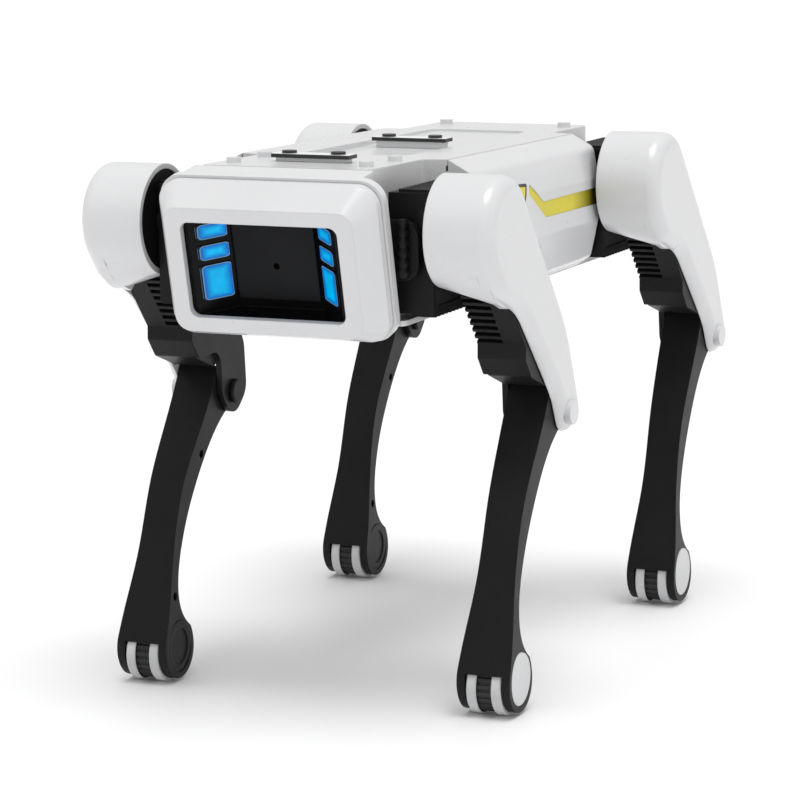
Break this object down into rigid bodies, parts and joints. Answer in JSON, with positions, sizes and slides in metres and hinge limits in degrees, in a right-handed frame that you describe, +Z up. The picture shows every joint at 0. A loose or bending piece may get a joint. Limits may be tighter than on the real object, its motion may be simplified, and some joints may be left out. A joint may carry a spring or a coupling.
{
  "type": "quadruped robot dog",
  "caption": "Small four-legged robot dog with a box body, a leaning screen-like face with cyan lights, white thigh covers over black frames, slim black shins and rollers in the feet",
  "frame": {"origin": "on the ground under the middle of the bounding box", "axes": "the dog faces -Y, its left side is +X, +Z is up"},
  "size_m": [0.1512, 0.2728, 0.1865],
  "materials": {
    "white_shell": "smooth glossy white",
    "white_matte": "satin white",
    "yellow_inlay": "satin yellow",
    "black_frame": "satin black, fine grain",
    "battery_wrap": "blue wrap",
    "circuit_board": "green board",
    "motor_case": "dark grey case",
    "cyan_light": "lit cyan lens",
    "dark_panel": "dark grey panel",
    "button_grey": "grey button",
    "steel": "dark steel",
    "grey_roller": "grey ribbed rubber",
    "axle_black": "black, dished"
  },
  "bodies": {
    "root": {"side_panel_left": "white_shell", "side_panel_right": "white_shell", "accent_stripes": "yellow_inlay", "deck_shell": "white_shell", "accessory_plates": "white_matte", "belly_shell": "white_shell", "chassis": "black_frame", "battery_pack": "battery_wrap", "control_board": "circuit_board", "roll_servos": "motor_case", "speaker": "motor_case", "head_bezel": "white_shell", "head_shell": "white_shell", "face_tray": "black_frame", "led_windows": "cyan_light", "sensor_panel": "dark_panel", "tail_cover": "black_frame", "charge_socket": "steel", "body_screws": "steel"},
    "hip_front_left": {"hip_bracket_front_left": "black_frame", "hip_servo_front_left": "motor_case"},
    "thigh_front_left": {"thigh_cover_front_left": "white_shell", "thigh_frame_front_left": "black_frame", "knee_servo_front_left": "motor_case", "knee_pin_front_left": "steel"},
    "shin_front_left": {"shin_front_left": "black_frame", "foot_axle_front_left": "axle_black", "foot_cap_front_left": "white_matte"},
    "wheels_front_left": {"foot_wheels_front_left": "grey_roller"},
    "hip_front_right": {"hip_bracket_front_right": "black_frame", "hip_servo_front_right": "motor_case"},
    "thigh_front_right": {"thigh_cover_front_right": "white_shell", "thigh_frame_front_right": "black_frame", "knee_servo_front_right": "motor_case", "knee_pin_front_right": "steel"},
    "shin_front_right": {"shin_front_right": "black_frame", "foot_axle_front_right": "axle_black", "foot_cap_front_right": "white_matte"},
    "wheels_front_right": {"foot_wheels_front_right": "grey_roller"},
    "hip_rear_left": {"hip_bracket_rear_left": "black_frame", "hip_servo_rear_left": "motor_case"},
    "thigh_rear_left": {"thigh_cover_rear_left": "white_shell", "thigh_frame_rear_left": "black_frame", "knee_servo_rear_left": "motor_case", "knee_pin_rear_left": "steel"},
    "shin_rear_left": {"shin_rear_left": "black_frame", "foot_axle_rear_left": "axle_black", "foot_cap_rear_left": "white_matte"},
    "wheels_rear_left": {"foot_wheels_rear_left": "grey_roller"},
    "hip_rear_right": {"hip_bracket_rear_right": "black_frame", "hip_servo_rear_right": "motor_case"},
    "thigh_rear_right": {"thigh_cover_rear_right": "white_shell", "thigh_frame_rear_right": "black_frame", "knee_servo_rear_right": "motor_case", "knee_pin_rear_right": "steel"},
    "shin_rear_right": {"shin_rear_right": "black_frame", "foot_axle_rear_right": "axle_black", "foot_cap_rear_right": "white_matte"},
    "wheels_rear_right": {"foot_wheels_rear_right": "grey_roller"},
    "button": {"power_button": "button_grey"}
  },
  "joints": [
    {"name": "hip_roll_front_left", "type": "hinge", "parent": "root", "child": "hip_front_left", "pos_m": [0.04, -0.0885, 0.157], "axis": [0, -1, 0], "range_deg": [-5, 10]},
    {"name": "hip_pitch_front_left", "type": "hinge", "parent": "hip_front_left", "child": "thigh_front_left", "pos_m": [0.0542, -0.1, 0.163], "axis": [1, 0, 0], "range_deg": [-35, 35]},
    {"name": "knee_front_left", "type": "hinge", "parent": "thigh_front_left", "child": "shin_front_left", "pos_m": [0.0625, -0.04426, 0.09555], "axis": [1, 0, 0], "range_deg": [-35, 45]},
    {"name": "foot_roller_front_left", "type": "hinge", "parent": "shin_front_left", "child": "wheels_front_left", "pos_m": [0.0634, -0.08956, 0.01], "axis": [1, 0, 0], "continuous": true},
    {"name": "hip_roll_front_right", "type": "hinge", "parent": "root", "child": "hip_front_right", "pos_m": [-0.04, -0.0885, 0.157], "axis": [0, 1, 0], "range_deg": [-5, 10]},
    {"name": "hip_pitch_front_right", "type": "hinge", "parent": "hip_front_right", "child": "thigh_front_right", "pos_m": [-0.0542, -0.1, 0.163], "axis": [1, 0, 0], "range_deg": [-35, 35]},
    {"name": "knee_front_right", "type": "hinge", "parent": "thigh_front_right", "child": "shin_front_right", "pos_m": [-0.0625, -0.04426, 0.09555], "axis": [1, 0, 0], "range_deg": [-35, 45]},
    {"name": "foot_roller_front_right", "type": "hinge", "parent": "shin_front_right", "child": "wheels_front_right", "pos_m": [-0.0634, -0.08956, 0.01], "axis": [1, 0, 0], "continuous": true},
    {"name": "hip_roll_rear_left", "type": "hinge", "parent": "root", "child": "hip_rear_left", "pos_m": [0.04, 0.0781, 0.157], "axis": [0, -1, 0], "range_deg": [-5, 10]},
    {"name": "hip_pitch_rear_left", "type": "hinge", "parent": "hip_rear_left", "child": "thigh_rear_left", "pos_m": [0.0542, 0.0666, 0.163], "axis": [1, 0, 0], "range_deg": [-35, 35]},
    {"name": "knee_rear_left", "type": "hinge", "parent": "thigh_rear_left", "child": "shin_rear_left", "pos_m": [0.0625, 0.12535, 0.09815], "axis": [1, 0, 0], "range_deg": [-35, 45]},
    {"name": "foot_roller_rear_left", "type": "hinge", "parent": "shin_rear_left", "child": "wheels_rear_left", "pos_m": [0.0634, 0.08536, 0.01], "axis": [1, 0, 0], "continuous": true},
    {"name": "hip_roll_rear_right", "type": "hinge", "parent": "root", "child": "hip_rear_right", "pos_m": [-0.04, 0.0781, 0.157], "axis": [0, 1, 0], "range_deg": [-5, 10]},
    {"name": "hip_pitch_rear_right", "type": "hinge", "parent": "hip_rear_right", "child": "thigh_rear_right", "pos_m": [-0.0542, 0.0666, 0.163], "axis": [1, 0, 0], "range_deg": [-35, 35]},
    {"name": "knee_rear_right", "type": "hinge", "parent": "thigh_rear_right", "child": "shin_rear_right", "pos_m": [-0.0625, 0.12535, 0.09815], "axis": [1, 0, 0], "range_deg": [-35, 45]},
    {"name": "foot_roller_rear_right", "type": "hinge", "parent": "shin_rear_right", "child": "wheels_rear_right", "pos_m": [-0.0634, 0.08536, 0.01], "axis": [1, 0, 0], "continuous": true},
    {"name": "power_button_press", "type": "slide", "parent": "root", "child": "button", "axis": [0, -1, 0], "range_m": [0, 0.001], "stiffness_N_per_m": 300, "springref_m": -0.0003}
  ]
}
